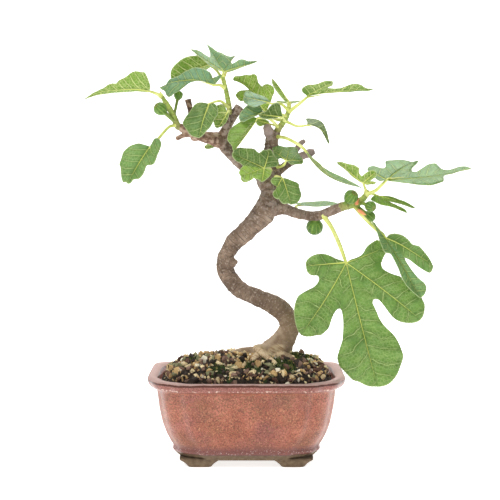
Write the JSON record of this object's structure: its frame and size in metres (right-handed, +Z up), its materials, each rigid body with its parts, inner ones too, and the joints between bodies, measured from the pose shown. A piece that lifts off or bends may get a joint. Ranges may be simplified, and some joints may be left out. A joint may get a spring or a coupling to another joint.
{
  "type": "fig bonsai",
  "caption": "Fig tree grown as a bonsai with an S-shaped trunk, lobed leaves and green figs, in a glazed pot with indented corners, filled with gravel soil.",
  "frame": {"origin": "middle of the whole plant's box in X and Y, at the pot's soles", "axes": "+Z up; X along the pot's long side, with the long right branch towards +X; the side that the picture shows faces -Y"},
  "size_m": [0.4008, 0.1604, 0.4372],
  "materials": {
    "glaze": "glossy speckled glaze",
    "mesh": "matte",
    "gravel": "rough loose grains",
    "bark": "rough bark",
    "green_stem": "satin",
    "fig_skin": "satin",
    "leaf": "satin leaf"
  },
  "bodies": {
    "root": {"pot": "glaze", "screen_left": "mesh", "screen_right": "mesh", "soil": "gravel", "trunk": "bark", "shoot_top": "green_stem", "shoot_left": "green_stem", "shoot_centre": "green_stem", "shoot_right": "green_stem", "fig_left_low": "fig_skin", "fig_left_high": "fig_skin", "fig_branch_top": "fig_skin", "fig_tip_front": "fig_skin", "fig_tip_low": "fig_skin", "fig_branch_under": "fig_skin", "leaf_left_far": "leaf", "leaf_left_hanging": "leaf", "leaf_left_round": "leaf", "leaf_left_small": "leaf", "leaf_top": "leaf", "leaf_top_curled": "leaf", "leaf_top_back": "leaf", "leaf_centre_lime": "leaf", "leaf_centre_blue": "leaf", "leaf_centre_low": "leaf", "leaf_centre_dark": "leaf", "leaf_centre_hanging": "leaf", "leaf_centre_small": "leaf", "leaf_centre_upright": "leaf", "leaf_centre_behind": "leaf", "leaf_upper_right": "leaf", "leaf_right_bent": "leaf", "leaf_right_drooping": "leaf", "leaf_tip_edge": "leaf", "leaf_branch_behind": "leaf", "leaf_middle_fan": "leaf", "leaf_over_trunk": "leaf", "leaf_middle_dark": "leaf", "leaf_middle_small": "leaf", "leaf_tip_young": "leaf", "leaf_right_big": "leaf", "leaf_right_folded": "leaf", "leaf_biggest": "leaf", "leaf_twig_under": "leaf"}
  },
  "joints": []
}
